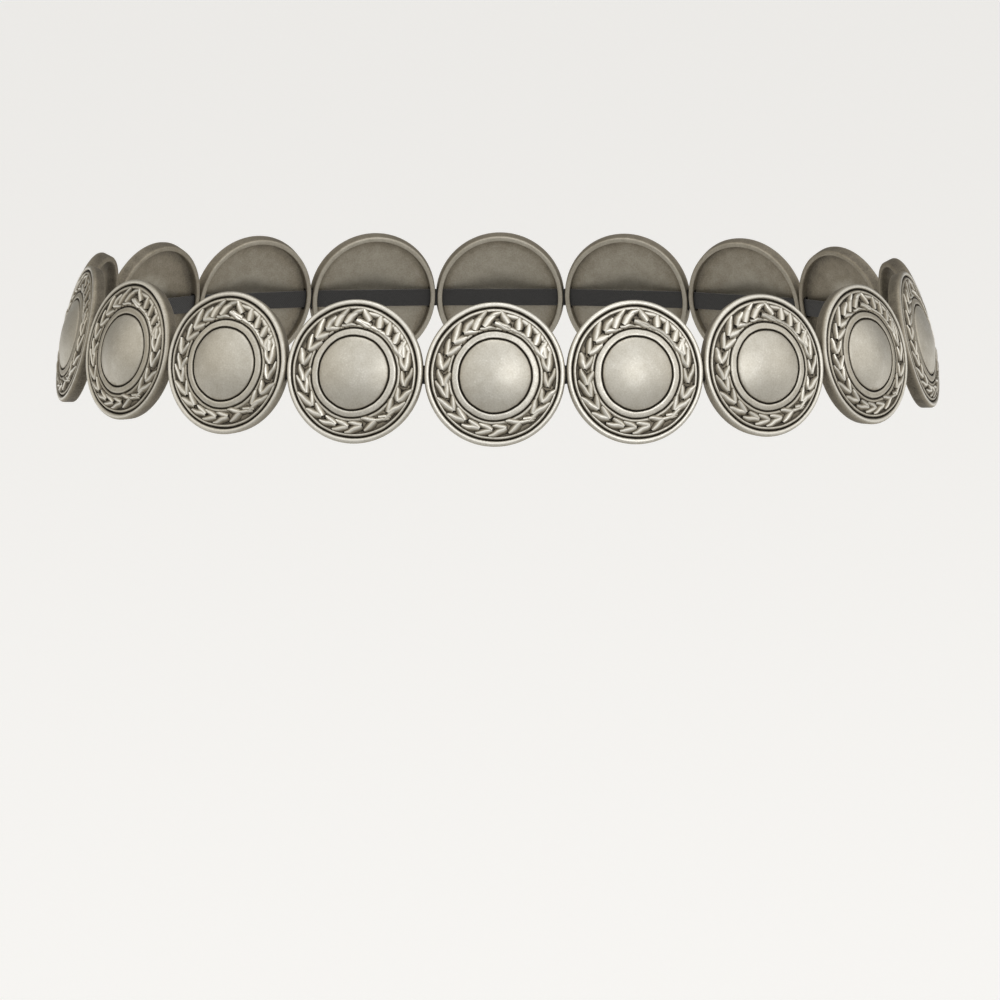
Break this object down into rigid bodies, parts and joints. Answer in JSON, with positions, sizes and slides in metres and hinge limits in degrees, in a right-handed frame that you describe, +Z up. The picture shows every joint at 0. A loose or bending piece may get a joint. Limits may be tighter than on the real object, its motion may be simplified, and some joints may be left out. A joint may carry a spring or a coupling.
{
  "type": "concho belt",
  "caption": "Closed stretch belt of round cast metal discs, each with a dome, a smooth ring, a raised laurel wreath and a rounded rim, threaded on a flat elastic band.",
  "frame": {"origin": "middle of the loop, at the height where the band runs through the front discs", "axes": "+Z up along the wearer's waist, -Y to the wearer's front, +X to the viewer's right"},
  "size_m": [0.2486, 0.2012, 0.0405],
  "materials": {
    "silver": "matte antique silver with dark patina in the relief",
    "elastic": "woven black elastic"
  },
  "bodies": {
    "root": {"concho_01": "silver", "concho_02": "silver", "concho_03": "silver", "concho_04": "silver", "concho_05": "silver", "concho_06": "silver", "concho_07": "silver", "concho_08": "silver", "concho_09": "silver", "concho_10": "silver", "concho_11": "silver", "concho_12": "silver", "concho_13": "silver", "concho_14": "silver", "concho_15": "silver", "concho_16": "silver", "concho_17": "silver", "concho_18": "silver", "elastic_band": "elastic"}
  },
  "joints": []
}
